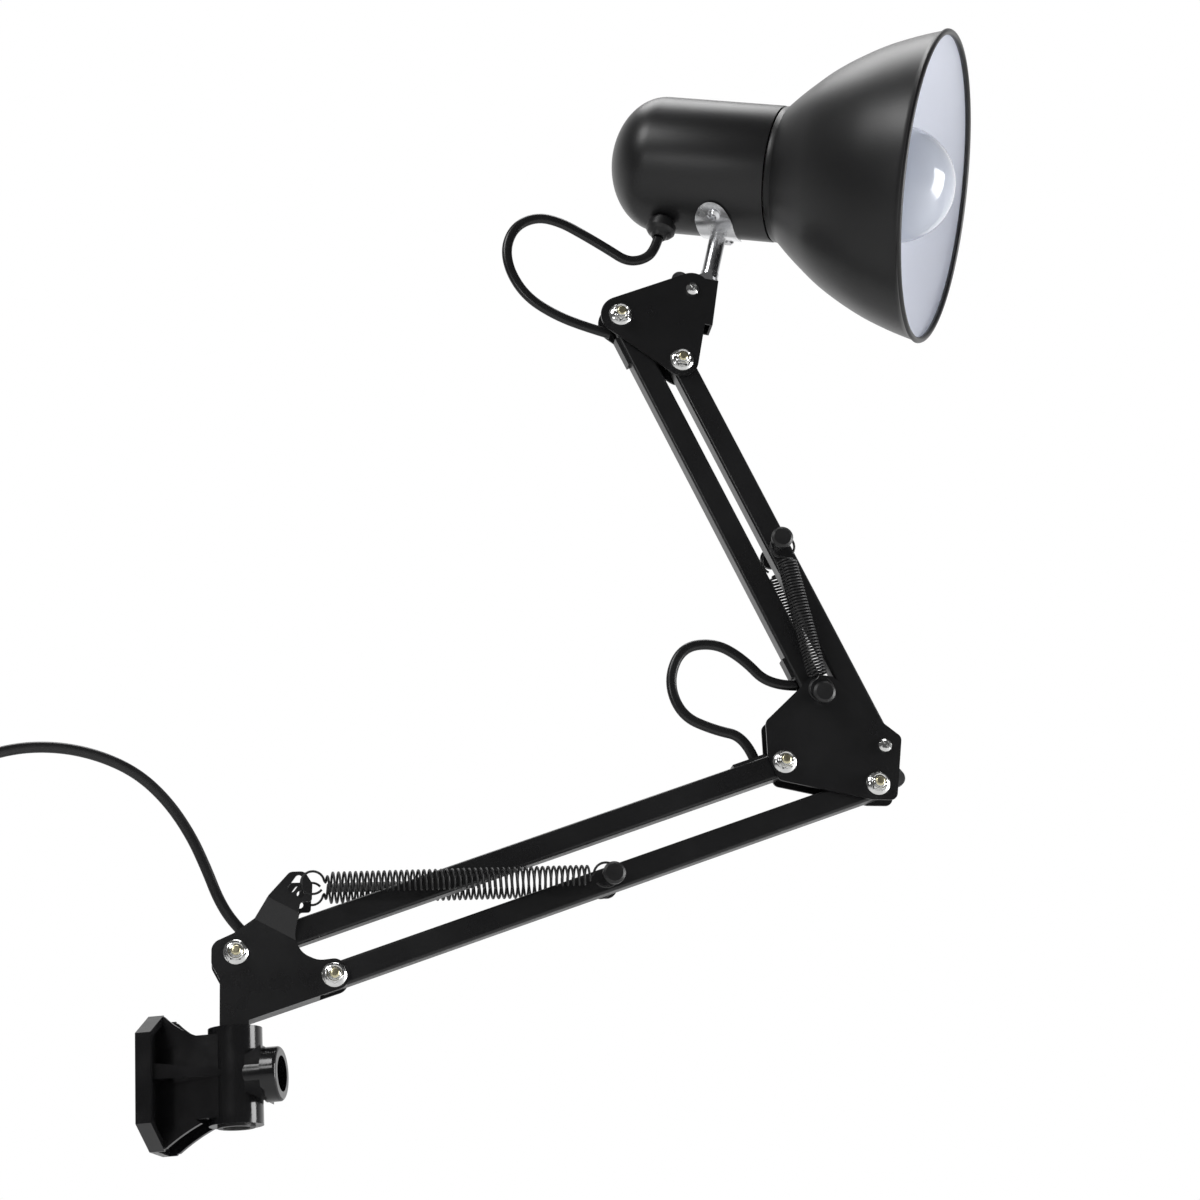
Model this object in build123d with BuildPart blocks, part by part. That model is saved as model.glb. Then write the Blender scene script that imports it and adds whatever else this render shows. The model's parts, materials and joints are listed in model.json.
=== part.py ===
"""Swing arm desk lamp with a wall bracket, two spring-balanced parallelogram arms and a bell shade.

Units are millimetres. The row frame has its origin at the centre of the wall plate's back face,
+X out of the wall, +Y along the wall and +Z up. Everything above the bracket is drawn in the arm
frame: x along the arm's own vertical plane, depth across it and z up, from the first arm pivot.
"""
import os
from math import atan2, cos, degrees, hypot, pi, radians, sin, tan

from build123d import *

os.makedirs("parts", exist_ok=True)

# ---- driving dimensions ----
ARM_YAW = 16.0            # the arm's plane, turned about the post from the wall's normal
POST_X = 38.2             # post axis in front of the wall
POST_TO_PIVOT = 1.0       # the first arm pivot, along the arm plane from the post axis
PIVOT_Z = 58.2            # the first arm pivot above the wall plate's centre

LOWER_ANGLE = 17.65       # lower arm above the horizontal
LOWER_LENGTH = 278.6      # between its pivots
LOWER_SPREAD = 46.8       # between its two bars' pivots on the yoke
LOWER_SPREAD_ANGLE = -15.0
UPPER_ANGLE = 113.0       # upper arm above the horizontal
UPPER_LENGTH = 222.0
UPPER_SPREAD = 39.0
UPPER_SPREAD_ANGLE = 140.0
CLAMP_OFFSET = (50.2, 6.8)       # elbow clamp screw from the lower arm's far pivot
HEAD_PIVOT_OFFSET = (7.95, 38.9)  # head pivot from the upper arm's right pivot

BAR_HEIGHT = 12.0         # bars, in the arm plane
BAR_DEPTH = 10.0
BAR_WALL = 1.0
BAR_END = 7.0             # beyond each pivot
SHEET = 1.1               # folded and flat steel plates
PLATE_IN = 5.6            # plate's inner face from the arm plane
PLATE_OUT = PLATE_IN + SHEET
BOLT_R = 2.5
OPEN_PIVOT_R = 3.1        # wider hole at the two pivots that the motion tree leaves open

STEM_LEAN = 15.4          # head stem, from the vertical in the arm plane
HEAD_SWIVEL = 21.7        # head, turned about its stem from the arm plane
STEM_OFFSET = 7.4         # stem axis from the head pivot
HEAD_HEIGHT = 71.8        # head axis above the head pivot, along the stem
CAP_R = 35.1
SHADE_R = 79.3
SHADE_MOUTH = 109.3       # mouth from the stem axis, along the head axis

CORD_D = 5.0              # mains and head cord

# ---- frames ----
arm_x = Vector(cos(radians(ARM_YAW)), sin(radians(ARM_YAW)), 0)
arm_frame = Plane(origin=Vector(POST_X, 0, PIVOT_Z) + arm_x * POST_TO_PIVOT, x_dir=arm_x, z_dir=(0, 0, 1))


def polar(length, angle):
    """A step of that length and angle in the arm plane."""
    return length * cos(radians(angle)), length * sin(radians(angle))


def step(start, offset):
    return start[0] + offset[0], start[1] + offset[1]


def at(x, z, depth=0.0):
    """A point of the arm frame, in the row frame."""
    return arm_frame.from_local_coords(Vector(x, depth, z))


def side(point=(0, 0), angle=0.0, depth=0.0):
    """A plane parallel to the arm plane, its x turned by angle and its normal to the near side."""
    along = arm_x * cos(radians(angle)) + Vector(0, 0, sin(radians(angle)))
    return Plane(origin=at(*point, depth), x_dir=along, z_dir=arm_frame.y_dir * -1)


base_top = (0, 0)
base_bottom = polar(LOWER_SPREAD, LOWER_SPREAD_ANGLE)
elbow_top = polar(LOWER_LENGTH, LOWER_ANGLE)
elbow_bottom = step(elbow_top, base_bottom)
elbow_clamp = step(elbow_top, CLAMP_OFFSET)
elbow_axle_at = step(elbow_clamp, polar(UPPER_SPREAD, UPPER_SPREAD_ANGLE))
top_left = step(elbow_axle_at, polar(UPPER_LENGTH, UPPER_ANGLE))
top_right = step(elbow_clamp, polar(UPPER_LENGTH, UPPER_ANGLE))
head_pivot = step(top_right, HEAD_PIVOT_OFFSET)

# The head frame: x along the head axis to the mouth, y to the far side, z up the stem.
stem_angle = 90 - STEM_LEAN
stem_up = side(angle=stem_angle).x_dir
stem_right = side(angle=stem_angle - 90).x_dir
stem_foot = at(*head_pivot) + stem_right * STEM_OFFSET
stem_frame = Plane(origin=stem_foot, x_dir=stem_right, z_dir=stem_up)
head_frame = stem_frame.rotated((0, 0, -HEAD_SWIVEL)).offset(HEAD_HEIGHT)
head_axis_plane = Plane(origin=head_frame.origin, x_dir=head_frame.x_dir, z_dir=head_frame.y_dir * -1)

# ---- shared shapes ----


def save(builder, name):
    builder.part.label = name
    export_step(builder.part, f"parts/{name}.step")


def spin(plane, points):
    """A closed outline revolved about the plane's x axis."""
    with BuildPart() as turned:
        with BuildSketch(plane):
            with BuildLine():
                Polyline(*points, close=True)
            make_face()
        revolve(axis=Axis(plane.origin, plane.x_dir))
    return turned


def across(point, depth=0.0):
    """A plane for turned fasteners: its x axis runs through the arm's depth, away from the viewer's side."""
    return Plane(origin=at(*point, depth), x_dir=arm_frame.y_dir, z_dir=arm_x)


def group(solids):
    """Several separate solids as one node."""
    with BuildPart() as many:
        add(solids)
    return many


# ---- bracket ----
PLATE_HALF_W = 30.0
PLATE_HALF_H = 31.0
PLATE_CUT_W = 20.0        # plate's cut corners
PLATE_CUT_H = 10.5
PLATE_THICK = 7.2
PLATE_RIM = 3.0
PLATE_FLOOR = 3.6         # behind the plate's shallow tray
TUBE_R = 12.6
TUBE_TOP = -34.5 + PIVOT_Z
TUBE_BOTTOM = -79.0 + PIVOT_Z
BUSH_R = 8.8
BUSH_BORE_R = 6.35
POST_R = 6.25
SOCKET_R = 8.25
SOCKET_END = 22.0         # socket's mouth from the post axis
SOCKET_DEPTH = 11.5
GUSSET_GAP = 18.0         # between the two walls that carry the tube
GUSSET_T = 2.6
RIB_HALF_W = 20.5         # the level rib where it meets the plate
RIB_THICK = 7.6
RIB_MIDDLE = 4.2
SCREW_R = 2.2
SCREW_SPACING_Y = 44.0
SCREW_SPACING_Z = 30.0

mid_height = (TUBE_TOP + TUBE_BOTTOM) / 2


def plate_outline(shrink):
    """The wall plate's eight-sided outline."""
    half_w = PLATE_HALF_W - shrink
    half_h = PLATE_HALF_H - shrink
    cut_w = PLATE_CUT_W - shrink * 0.5
    cut_h = PLATE_CUT_H - shrink * 0.3
    quarter = [(half_w, half_h - cut_h), (half_w - cut_w, half_h)]
    left_top = [(-y, z) for y, z in reversed(quarter)]
    left_bottom = [(-y, -z) for y, z in quarter]
    right_bottom = [(y, -z) for y, z in reversed(quarter)]
    return quarter + left_top + left_bottom + right_bottom


wall_plane = Plane.YZ
post_plane = Plane(origin=(POST_X, 0, TUBE_BOTTOM), z_dir=(0, 0, 1))
socket_plane = Plane(origin=(POST_X + SOCKET_END, 0, mid_height), x_dir=(0, 1, 0), z_dir=(1, 0, 0))

with BuildPart() as wall_bracket:
    with BuildSketch(wall_plane):
        with BuildLine():
            Polyline(*plate_outline(0), close=True)
        make_face()
    extrude(amount=PLATE_THICK)
    with BuildSketch(wall_plane.offset(PLATE_FLOOR)):
        with BuildLine():
            Polyline(*plate_outline(PLATE_RIM), close=True)
        make_face()
    extrude(amount=PLATE_THICK, mode=Mode.SUBTRACT)
    with BuildSketch(Plane.XZ) as gusset:
        with BuildLine():
            Line((PLATE_FLOOR, PLATE_HALF_H - 1), (PLATE_THICK + 1, PLATE_HALF_H - 1))
            ThreePointArc((PLATE_THICK + 1, PLATE_HALF_H - 1), (14, 25.0), (23, TUBE_TOP - 3.5))
            Line((23, TUBE_TOP - 3.5), (POST_X, TUBE_TOP - 3.5))
            Line((POST_X, TUBE_TOP - 3.5), (POST_X, TUBE_BOTTOM + 3))
            Polyline((POST_X, TUBE_BOTTOM + 3), (POST_X - 16, TUBE_BOTTOM + 3), (25, TUBE_BOTTOM + 1))
            ThreePointArc((25, TUBE_BOTTOM + 1), (16, -24.6), (PLATE_THICK + 1, 1 - PLATE_HALF_H))
            Polyline(
                (PLATE_THICK + 1, 1 - PLATE_HALF_H),
                (PLATE_FLOOR, 1 - PLATE_HALF_H),
                (PLATE_FLOOR, PLATE_HALF_H - 1),
            )
        make_face()
    extrude(amount=GUSSET_GAP / 2 + GUSSET_T, both=True)
    with BuildSketch(Plane.XZ):
        with Locations(((POST_X - TUBE_R + PLATE_FLOOR + 1) / 2, 0)):
            Rectangle(POST_X - TUBE_R - PLATE_FLOOR + 1, 3 * PLATE_HALF_H)
    extrude(amount=GUSSET_GAP / 2, both=True, mode=Mode.SUBTRACT)
    with BuildSketch(post_plane):
        Circle(TUBE_R)
    extrude(amount=TUBE_TOP - TUBE_BOTTOM)
    with BuildSketch(socket_plane):
        Circle(TUBE_R)
    extrude(amount=-7.5)
    with BuildSketch(socket_plane.offset(-7.5)):
        Circle(TUBE_R - 1.6)
    extrude(amount=7.5 - SOCKET_END)
    for up in (1, -1):
        with BuildSketch(Plane.XZ):
            with BuildLine():
                Polyline(
                    (POST_X + 3, mid_height + up * 6),
                    (POST_X + SOCKET_END - 7, mid_height + up * 12.4),
                    (POST_X + SOCKET_END - 7, mid_height),
                    (POST_X + 3, mid_height),
                    close=True,
                )
            make_face()
        extrude(amount=TUBE_R - 2.2, both=True)
    with BuildSketch(wall_plane.offset(PLATE_FLOOR)):
        with Locations((0, RIB_MIDDLE)):
            Rectangle(2 * RIB_HALF_W, RIB_THICK)
    with BuildSketch(wall_plane.offset(POST_X - 2)):
        with Locations((0, RIB_MIDDLE - 1.6)):
            Rectangle(2 * TUBE_R - 1, 2.4)
    loft()
    with BuildSketch(socket_plane):
        Circle(SOCKET_R)
    extrude(amount=-SOCKET_DEPTH, mode=Mode.SUBTRACT)
    with BuildSketch(post_plane):
        Circle(BUSH_R)
    extrude(amount=TUBE_TOP - TUBE_BOTTOM, mode=Mode.SUBTRACT)
    with BuildSketch(wall_plane):
        with GridLocations(SCREW_SPACING_Y, SCREW_SPACING_Z, 2, 2):
            Circle(SCREW_R)
    extrude(amount=PLATE_THICK, mode=Mode.SUBTRACT)
    socket_rim = wall_bracket.faces().sort_by(Axis.X)[-1]
    fillet(socket_rim.outer_wire().edges(), 1.6)
save(wall_bracket, "wall_bracket")

with BuildPart() as post_bush:
    with BuildSketch(post_plane.offset(-1)):
        Circle(BUSH_R - 0.02)
        Circle(BUSH_BORE_R, mode=Mode.SUBTRACT)
    extrude(amount=TUBE_TOP - TUBE_BOTTOM + 1)
save(post_bush, "post_bush")

# ---- base yoke ----
TONGUE_STEP = 6.0         # how far the spring tongues stand out from the plates
HOOK_AT = (30.5, 30.5)    # where each lower spring turns in its slot
POST_LENGTH = 44.0

base_outline = [
    (-8, -34.5), (-7.6, -12.5), (-11.4, -5), (-11.2, 3), (-9, 5.6), (-0.8, 9.1),
    (9, 15.8), (15.6, 25.3), (25.6, 36), (32.5, 36), (36, 30), (35.5, 21.5), (30.2, 21.5),
    (27, 5.6), (30.8, -1.6), (38, -5), (47, -4.2), (53, -10), (51.2, -17.6), (5.5, -31.7), (5.3, -34.5),
]
base_corners = {
    10: [(27, 5.6), (30.8, -1.6), (38, -5)],
    6: [(47, -4.2), (53, -10), (51.2, -17.6)],
    5: [(-11.4, -5), (-11.2, 3), (-9, 5.6)],
    3.4: [(25.6, 36), (32.5, 36), (36, 30)],
    1.6: [(-7.6, -12.5), (-0.8, 9.1), (9, 15.8), (15.6, 25.3), (35.5, 21.5), (30.2, 21.5)],
}
bend_start = (9, 15.8)
bend_angle = degrees(atan2(5.4 - 15.8, 27.4 - 9))
bend_plane = Plane(
    origin=at(*bend_start),
    x_dir=side(angle=bend_angle + 90).x_dir,
    z_dir=side(angle=bend_angle).x_dir,
)


def drills(points, radius):
    """Round bars through the whole depth of the arm, to cut pivot holes with."""
    with BuildPart() as bars:
        with BuildSketch(side()):
            with Locations(*points):
                Circle(radius)
        extrude(amount=30, both=True)
    return bars.part


with BuildPart() as base_yoke:
    with BuildSketch(bend_plane):
        with BuildLine():
            Polyline(
                (-70, PLATE_IN), (0, PLATE_IN), (11, PLATE_IN + TONGUE_STEP), (40, PLATE_IN + TONGUE_STEP),
                (40, PLATE_OUT + TONGUE_STEP), (10.6, PLATE_OUT + TONGUE_STEP), (-0.4, PLATE_OUT),
                (-70, PLATE_OUT), close=True,
            )
        make_face()
    extrude(amount=90, both=True)
    mirror(about=side())
    with BuildSketch(side()):
        with BuildLine():
            Polyline((5.5, -31.7), (38.5, -21.5), (38.2, -20.45), (5.17, -30.65), close=True)
        make_face()
    extrude(amount=PLATE_OUT, both=True)
    with BuildSketch(side()) as outline:
        with BuildLine():
            Polyline(*base_outline, close=True)
        make_face()
        for radius, corners in base_corners.items():
            near = [v for v in outline.vertices() if any(hypot(v.X - x, v.Y - z) < 0.1 for x, z in corners)]
            fillet(near, radius)
    extrude(amount=30, both=True, mode=Mode.INTERSECT)
    add(drills([base_top, base_bottom], BOLT_R + 0.1), mode=Mode.SUBTRACT)
    with BuildSketch(side()):
        with Locations((30.3, 25.2)):
            Circle(1.7)
        with Locations(Location((27.9, 30.3), 53)):
            SlotOverall(9.4, 3.4)
    extrude(amount=30, both=True, mode=Mode.SUBTRACT)
save(base_yoke, "base_yoke")

with BuildPart() as swivel_post:
    with BuildSketch(post_plane.offset(0.5)):
        Circle(POST_R)
    extrude(amount=POST_LENGTH)
    with BuildSketch(post_plane.offset(0.5 + POST_LENGTH)):
        Circle(PLATE_IN - 0.2)
    extrude(amount=12)
save(swivel_post, "swivel_post")

# ---- bars ----
SLOT_LENGTH = 5.8         # cord slots through a bar's outer wall
LOWER_SLOTS = (8.0, LOWER_LENGTH - 12.0)   # their middles along the lower top bar
UPPER_SLOTS = (11.5, UPPER_LENGTH - 6.8)   # and along the upper left bar
SPRING_PIN_LOWER = 139.0  # spring pin along the lower bottom bar
SPRING_PIN_UPPER = 114.0  # spring pin along the upper right bar
SPRING_PIN_R = 2.0


def arm_bar(start, angle, length, open_end=False, slots=(), pin=None):
    """A closed rectangular tube between two pivots, with any cord slots and spring pin hole."""
    along = side(start, angle)
    end_plane = Plane(origin=along.origin - along.x_dir * BAR_END, x_dir=along.y_dir, z_dir=along.x_dir)
    with BuildPart() as bar:
        with BuildSketch(end_plane):
            RectangleRounded(BAR_HEIGHT, BAR_DEPTH, 1.5)
            RectangleRounded(BAR_HEIGHT - 2 * BAR_WALL, BAR_DEPTH - 2 * BAR_WALL, 0.6, mode=Mode.SUBTRACT)
        extrude(amount=length + 2 * BAR_END)
        with BuildSketch(along):
            Circle(BOLT_R + 0.1)
            with Locations((length, 0)):
                Circle(OPEN_PIVOT_R if open_end else BOLT_R + 0.1)
            if pin:
                with Locations((pin, 0)):
                    Circle(SPRING_PIN_R)
        extrude(amount=BAR_DEPTH, both=True, mode=Mode.SUBTRACT)
        for x in slots:
            with BuildSketch(along):
                with Locations((x, BAR_HEIGHT / 2)):
                    Rectangle(SLOT_LENGTH, BAR_HEIGHT / 2)
            extrude(amount=SLOT_LENGTH / 2, both=True, mode=Mode.SUBTRACT)
    return bar


lower_top_bar = arm_bar(base_top, LOWER_ANGLE, LOWER_LENGTH, slots=LOWER_SLOTS)
save(lower_top_bar, "lower_top_bar")
lower_bottom_bar = arm_bar(base_bottom, LOWER_ANGLE, LOWER_LENGTH, open_end=True, pin=SPRING_PIN_LOWER)
save(lower_bottom_bar, "lower_bottom_bar")
upper_left_bar = arm_bar(elbow_axle_at, UPPER_ANGLE, UPPER_LENGTH, slots=UPPER_SLOTS)
save(upper_left_bar, "upper_left_bar")
upper_right_bar = arm_bar(elbow_clamp, UPPER_ANGLE, UPPER_LENGTH, open_end=True, pin=SPRING_PIN_UPPER)
save(upper_right_bar, "upper_right_bar")

# ---- cord clips ----
CLIP_T = 1.5
CLIP_HALF = 3.6
LOWER_CLIPS = ((12.0, 26.0), (LOWER_LENGTH - 24.0, LOWER_LENGTH - 7.0))
UPPER_CLIPS = ((15.6, 26.0), (UPPER_LENGTH - 25.0, UPPER_LENGTH - 9.8))


def cord_clips(start, angle, spans, cord, name):
    """Two plastic covers on a bar's outer face, beside or round the cord that comes out there."""
    along = side(start, angle)
    with BuildPart() as clips:
        for first, last in spans:
            with BuildSketch(along):
                with Locations(((first + last) / 2, BAR_HEIGHT / 2 + CLIP_T / 2)):
                    Rectangle(last - first, CLIP_T)
            extrude(amount=CLIP_HALF, both=True)
        with BuildSketch(Plane(origin=along.origin + along.x_dir * cord, x_dir=along.x_dir, z_dir=along.y_dir)):
            Circle(CORD_D / 2 + 0.1)
        extrude(amount=BAR_HEIGHT, mode=Mode.SUBTRACT)
    save(clips, name)


cord_clips(base_top, LOWER_ANGLE, LOWER_CLIPS, LOWER_SLOTS[1], "lower_bar_cord_clips")
cord_clips(elbow_axle_at, UPPER_ANGLE, UPPER_CLIPS, UPPER_SLOTS[1], "upper_bar_cord_clips")

# ---- elbow plates ----
elbow_outline = [
    (257.6, 105), (276, 121.6), (283, 128.5), (293, 127), (315.5, 103.2),
    (324.5, 95.5), (323, 86), (319.5, 64), (307, 64.5), (262, 75.5), (257.4, 88),
]
with BuildPart() as elbow_plates:
    for depth in (-PLATE_IN, PLATE_OUT):
        with BuildSketch(side(depth=depth)) as outline:
            with BuildLine():
                Polyline(*elbow_outline, close=True)
            make_face()
            fillet(outline.vertices(), 3.5)
        extrude(amount=SHEET)
    add(drills([elbow_top, elbow_bottom, elbow_clamp, elbow_axle_at], BOLT_R + 0.05), mode=Mode.SUBTRACT)
save(elbow_plates, "elbow_plates")

# ---- top yoke ----
WEB_GAP = 3.6             # fold's reach beyond the plates' right edge
web_angle = degrees(atan2(291.8 - 335.1, 237.9 - 246.3))
with BuildPart() as top_yoke:
    with BuildSketch(side()):
        with Locations(top_left):
            Circle(10.0)
        with Locations(head_pivot):
            Circle(9.3)
        with Locations(top_right):
            Circle(8.6)
        make_hull()
    extrude(amount=PLATE_OUT, both=True)
    with BuildSketch(side((246.6, 336.5), web_angle)):
        with Locations((9, WEB_GAP / 2 - 2)):
            Rectangle(25, WEB_GAP + 4)
    extrude(amount=PLATE_OUT, both=True)
    with BuildSketch(side()):
        Rectangle(2000, 2000)
    extrude(amount=PLATE_IN, both=True, mode=Mode.SUBTRACT)
    with BuildSketch(side((246.6, 336.5), web_angle)):
        with Locations((9, WEB_GAP - SHEET / 2)):
            Rectangle(25, SHEET)
    extrude(amount=PLATE_IN + 0.2, both=True)
    add(drills([top_left, top_right, head_pivot], BOLT_R + 0.05), mode=Mode.SUBTRACT)
save(top_yoke, "top_yoke")

# ---- fasteners ----
FLANGE_R = 5.9
NUT_FLATS = 8.0
NUT_T = 5.0
HEAD_R = 4.6
SCREW_HEAD_R = 3.3


def pivot_bolts(points, name, far=PLATE_OUT, near=PLATE_OUT + NUT_T + 0.7):
    """Bolts through both plates: a domed head on the far side and the thread's end on the near side."""
    solids = []
    for point in points:
        solids.append(
            spin(across(point), [
                (-near, 0), (-near, BOLT_R - 0.6), (0.6 - near, BOLT_R), (far, BOLT_R), (far, HEAD_R),
                (far + 1.6, HEAD_R - 0.3), (far + 3, HEAD_R - 2), (far + 3, 0),
            ]).part
        )
    save(group(solids), name)


def flange_nuts(points, name):
    """Flanged hexagon nuts on the near side."""
    with BuildPart() as nuts:
        for point in points:
            with BuildSketch(side(point, depth=-PLATE_OUT)):
                Circle(FLANGE_R)
                Circle(BOLT_R + 0.03, mode=Mode.SUBTRACT)
            extrude(amount=1.2, taper=12)
            with BuildSketch(side(point, depth=-PLATE_OUT - 1.0)):
                RegularPolygon(NUT_FLATS / 2, 6, major_radius=False)
                Circle(BOLT_R + 0.03, mode=Mode.SUBTRACT)
            extrude(amount=NUT_T - 1.0)
    save(nuts, name)


def washers(points, name):
    """Nylon washers between bars and plates."""
    with BuildPart() as rings:
        for point in points:
            for depth in (-BAR_DEPTH / 2 - 0.05, PLATE_IN - 0.05):
                with BuildSketch(side(point, depth=depth)):
                    Circle(5.4)
                    Circle(BOLT_R + 0.1, mode=Mode.SUBTRACT)
                extrude(amount=PLATE_IN - BAR_DEPTH / 2 - 0.1)
    save(rings, name)


def clamp_screw(point, name):
    """Cross-head screw from the near side, its thread held by a wing nut on the far side."""
    screw = spin(across(point), [
        (-PLATE_OUT - 2.6, 0), (-PLATE_OUT - 2.6, SCREW_HEAD_R - 1.4), (-PLATE_OUT - 1.2, SCREW_HEAD_R),
        (-PLATE_OUT, SCREW_HEAD_R), (-PLATE_OUT, BOLT_R), (PLATE_OUT + 9, BOLT_R), (PLATE_OUT + 9, 0),
    ])
    with BuildPart() as slotted:
        add(screw.part)
        for turn in (40, 130):
            with BuildSketch(side(point, turn, -PLATE_OUT - 1.4)):
                Rectangle(4.4, 0.9)
            extrude(amount=3, mode=Mode.SUBTRACT)
    save(slotted, name)


WING_SPAN = 19.0
WING_BASE = 5.4           # the ears stand clear of the bolt head beside them


def wing_nut(point, angle, name):
    """Wing nut on the far side, its two ears along that angle."""
    turned = side(point, angle, PLATE_OUT + 0.3)
    with BuildPart() as nut:
        with BuildSketch(turned):
            Circle(5.2)
        extrude(amount=-WING_BASE - 1.5, taper=4)
        with BuildSketch(turned.offset(-WING_BASE)):
            SlotOverall(2 * WING_SPAN, 9)
        extrude(amount=-2.6)
        with BuildSketch(turned):
            Circle(BOLT_R + 0.05)
        extrude(amount=-20, mode=Mode.SUBTRACT)
    save(nut, name)


pivot_bolts([base_top, base_bottom], "base_bolts")
flange_nuts([base_top, base_bottom], "base_nuts")
washers([base_top, base_bottom], "base_washers")
pivot_bolts([elbow_top, elbow_bottom], "elbow_bolts")
flange_nuts([elbow_top, elbow_bottom], "elbow_nuts")
washers([elbow_top, elbow_bottom, elbow_clamp, elbow_axle_at], "elbow_washers")
clamp_screw(elbow_clamp, "elbow_clamp_screw")
wing_nut(elbow_clamp, -52, "elbow_wing_nut")
pivot_bolts([top_left, top_right], "top_bolts")
flange_nuts([top_left, top_right], "top_nuts")
washers([top_left, top_right], "top_washers")
clamp_screw(head_pivot, "head_clamp_screw")
wing_nut(head_pivot, 100, "head_wing_nut")

# ---- springs, their pins and caps ----
SPRING_DEPTH = 12.5       # spring axis from the arm plane
SPRING_R = 5.0
SPRING_BORE_R = 3.8
SPRING_WIRE = 1.1
PIN_HALF = 17.2
CAP_D = 10.8
CAP_T = 1.8


def spring_pin(point, radius, name):
    with BuildPart() as pin:
        with BuildSketch(side(point)):
            Circle(radius)
        extrude(amount=PIN_HALF - 0.6, both=True)
    save(pin, name)


def spring_caps(point, radius, name):
    """Two plastic buttons that keep the spring loops on a pin."""
    solids = []
    for way in (1, -1):
        plane = across(point)
        inner = PIN_HALF - CAP_T
        rings = [(inner, radius), (inner, CAP_D / 2), (PIN_HALF, CAP_D / 2), (PIN_HALF + 0.9, CAP_D / 2 - 1.2),
                 (PIN_HALF + 0.9, 0), (PIN_HALF - 0.6, 0), (PIN_HALF - 0.6, radius)]
        solids.append(spin(plane, [(way * x, r) for x, r in rings]).part)
    save(group(solids), name)


lower_pin = step(base_bottom, polar(SPRING_PIN_LOWER, LOWER_ANGLE))
upper_pin = step(elbow_clamp, polar(SPRING_PIN_UPPER, UPPER_ANGLE))
spring_pin(lower_pin, SPRING_PIN_R, "lower_spring_pin")
spring_caps(lower_pin, SPRING_PIN_R + 0.02, "lower_spring_caps")
spring_pin(upper_pin, SPRING_PIN_R, "upper_spring_pin")
spring_caps(upper_pin, SPRING_PIN_R + 0.02, "upper_spring_caps")
spring_pin(elbow_axle_at, BOLT_R, "elbow_axle")
spring_caps(elbow_axle_at, BOLT_R + 0.02, "elbow_axle_caps")


def spring_pair(start, end, near_gap, far_gap, loop_start, name):
    """A near and a far tension spring as tubes of their coils' size, each with its first end loop."""
    dx = end[0] - start[0]
    dz = end[1] - start[1]
    angle = degrees(atan2(dz, dx))
    length = hypot(dx, dz)
    with BuildPart() as coils:
        for depth in (-SPRING_DEPTH, SPRING_DEPTH):
            along = side(start, angle, depth)
            coil_plane = Plane(origin=along.origin + along.x_dir * near_gap, z_dir=along.x_dir)
            with BuildSketch(coil_plane):
                Circle(SPRING_R)
                Circle(SPRING_BORE_R, mode=Mode.SUBTRACT)
            extrude(amount=length - near_gap - far_gap)
            if loop_start:
                add(end_loop(along, near_gap))
    save(coils, name)


SPRING_LOOP_R = 3.6


def end_loop(along, reach):
    """A spring's end loop at a plane's origin: a flat ring round the pin and a cranked leg to the coils."""
    way = 1 if reach > 0 else -1
    leg = abs(reach) - SPRING_LOOP_R
    with BuildPart() as loop:
        with BuildSketch(along.offset(-SPRING_WIRE / 2)):
            Circle(SPRING_LOOP_R + SPRING_WIRE)
            Circle(SPRING_LOOP_R, mode=Mode.SUBTRACT)
            with Locations((way * (SPRING_LOOP_R + leg / 2 + 0.3), SPRING_BORE_R + 0.6)):
                Rectangle(leg + 1.2, SPRING_WIRE)
            with Locations((way * (SPRING_LOOP_R + 0.6), (SPRING_BORE_R + 0.6) / 2)):
                Rectangle(SPRING_WIRE, SPRING_BORE_R + 1.6)
        extrude(amount=SPRING_WIRE)
    return loop.part


def spring_loops(start, end, gap, name):
    """The far end loops of a pair of springs, round their pin."""
    angle = degrees(atan2(end[1] - start[1], end[0] - start[0]))
    with BuildPart() as loops:
        for depth in (-SPRING_DEPTH, SPRING_DEPTH):
            add(end_loop(side(end, angle, depth), -gap))
    save(loops, name)


spring_pair(HOOK_AT, lower_pin, 14.0, 13.0, False, "lower_springs")
spring_loops(HOOK_AT, lower_pin, 12.0, "lower_spring_loops")
spring_pair(elbow_axle_at, upper_pin, 10.0, 11.0, True, "upper_springs")
spring_loops(elbow_axle_at, upper_pin, 10.0, "upper_spring_loops")

# ---- head ----
KNUCKLE_HALF = 5.2
COLLAR_HEIGHT = 14.6      # top of the knuckle's collar along the stem
STEM_R = 4.25
STEM_PIN_R = 3.0
SADDLE_T = 1.2
DOME = 27.0               # depth of the cap's rounded end
CAP_BACK = -63.0
NOSE_R = 2.0              # flat middle of the rounded end
CAP_FRONT = 26.6
CAP_WALL = 1.0

knuckle_side = Plane(origin=at(*head_pivot), x_dir=stem_right, z_dir=arm_frame.y_dir * -1)
with BuildPart() as head_knuckle:
    with BuildSketch(knuckle_side):
        Circle(7.0)
        with Locations((STEM_OFFSET - 1.2, COLLAR_HEIGHT - 5)):
            Circle(2.9)
        make_hull()
    extrude(amount=KNUCKLE_HALF, both=True)
    with BuildSketch(stem_frame.offset(COLLAR_HEIGHT - 6)):
        Circle(3.6)
    extrude(amount=6)
    with BuildSketch(stem_frame.offset(COLLAR_HEIGHT - 3.4)):
        Circle(STEM_R + 0.5)
    extrude(amount=3.2)
    with BuildSketch(stem_frame.offset(COLLAR_HEIGHT - 1)):
        Circle(STEM_PIN_R)
    extrude(amount=16)
    add(drills([head_pivot], BOLT_R + 0.1), mode=Mode.SUBTRACT)
save(head_knuckle, "head_knuckle")

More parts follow.
